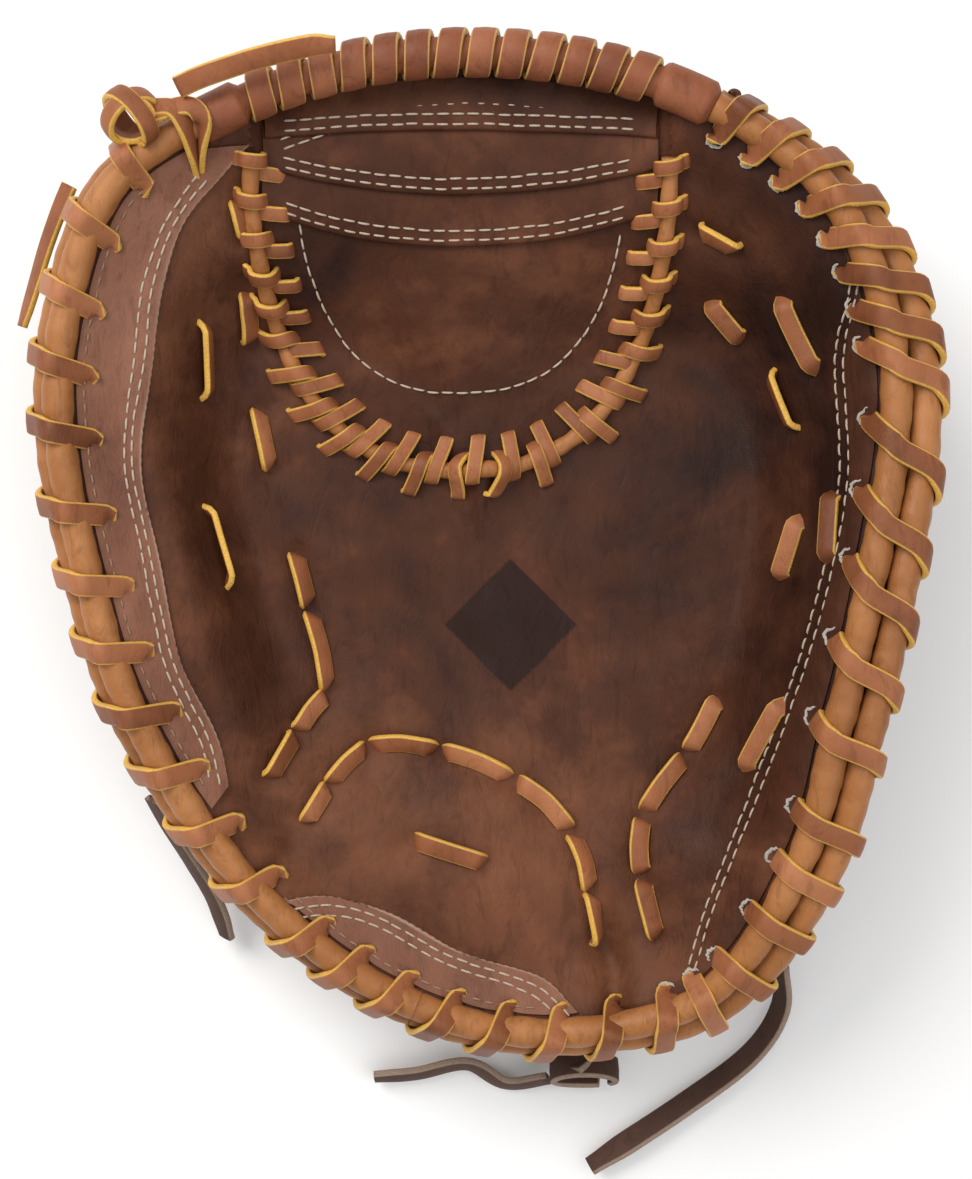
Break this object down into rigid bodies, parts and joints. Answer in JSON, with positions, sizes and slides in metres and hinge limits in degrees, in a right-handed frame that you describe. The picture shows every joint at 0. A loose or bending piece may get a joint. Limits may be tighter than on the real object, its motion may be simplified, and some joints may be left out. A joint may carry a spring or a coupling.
{
  "type": "baseball catcher's mitt",
  "caption": "Round padded catcher's mitt for the left hand: bowl-shaped leather palm, laced double-roll rim, closed web and an adjustable wrist strap, lying on its back.",
  "frame": {"origin": "on the plane that the back rests on, under the middle of the mitt's box without its loose lace ends", "axes": "+Z out of the pocket, +Y from the heel to the web, -X to the thumb side and +X to the finger side"},
  "size_m": [0.2628, 0.3392, 0.0991],
  "materials": {
    "palm_leather": "worn, satin",
    "back_leather": "satin",
    "roll_leather": "polished, satin",
    "rawhide_lace": "satin, with yellow cut edges",
    "thong_leather": "matte, fuzzy edges",
    "lining_leather": "matte",
    "felt": "matte",
    "fleece": "matte",
    "steel": "satin"
  },
  "bodies": {
    "palm": {"palm_leather_center": "palm_leather", "heel_overlay": "palm_leather", "web_panel": "palm_leather", "web_band_lower": "palm_leather", "web_band_middle": "palm_leather", "web_band_upper": "palm_leather", "web_bar_binding": "palm_leather", "back_leather_center": "back_leather", "strap_tab_thumb": "back_leather", "strap_tab_finger": "back_leather", "heel_roll_inner": "roll_leather", "heel_roll_outer": "roll_leather", "web_seam_cord": "roll_leather", "heel_rim_lace": "rawhide_lace", "web_bar_lace": "rawhide_lace", "web_seam_lace": "rawhide_lace", "heel_tie_lace": "rawhide_lace", "pocket_tie_lace": "rawhide_lace", "heel_pad_tie_lace": "rawhide_lace", "lace_tail_top": "rawhide_lace", "thong_short_end": "thong_leather", "thong_knot": "thong_leather", "palm_liner": "lining_leather", "index_stall": "lining_leather", "palm_pad": "felt", "web_bar_core": "felt"},
    "thumb_side": {"palm_leather_thumb": "palm_leather", "thumb_pad": "felt", "thumb_overlay": "palm_leather", "back_leather_thumb": "back_leather", "thumb_stall": "lining_leather", "thumb_roll_inner": "roll_leather", "thumb_roll_outer": "roll_leather", "thumb_rim_lace": "rawhide_lace", "thumb_tie_lace": "rawhide_lace", "thumb_lace_knot": "rawhide_lace", "lace_tail_side": "rawhide_lace", "thong_tail_thumb": "thong_leather"},
    "finger_side": {"palm_leather_finger": "palm_leather", "finger_pad": "felt", "finger_overlay": "palm_leather", "back_leather_finger": "back_leather", "finger_stall": "lining_leather", "finger_roll_inner": "roll_leather", "finger_roll_outer": "roll_leather", "finger_rim_lace": "rawhide_lace", "finger_tie_lace_outer": "rawhide_lace", "finger_tie_lace_inner": "rawhide_lace", "thong_long_end": "thong_leather"},
    "wrist_strap_assembly": {"wrist_strap": "back_leather", "strap_fleece": "fleece", "ring_loop": "back_leather"},
    "strap_ring": {"strap_ring": "steel"}
  },
  "joints": [
    {"name": "thumb_crease", "type": "hinge", "parent": "palm", "child": "thumb_side", "pos_m": [-0.055, -0.095, 0.05], "axis": [-0.0763, 0.9925, 0.0954], "range_deg": [-2, 25]},
    {"name": "finger_crease", "type": "hinge", "parent": "palm", "child": "finger_side", "pos_m": [0.037, -0.134, 0.048], "axis": [-0.0914, -0.9903, -0.1042], "range_deg": [-2, 25]},
    {"name": "strap_bend", "type": "hinge", "parent": "palm", "child": "wrist_strap_assembly", "pos_m": [-0.054, -0.097, 0.0075], "axis": [0, 1, 0], "range_deg": [0, 90]},
    {"name": "ring_swivel", "type": "hinge", "parent": "wrist_strap_assembly", "child": "strap_ring", "pos_m": [0.0366, -0.097, 0.0075], "axis": [0, 1, 0], "range_deg": [-60, 60]}
  ]
}
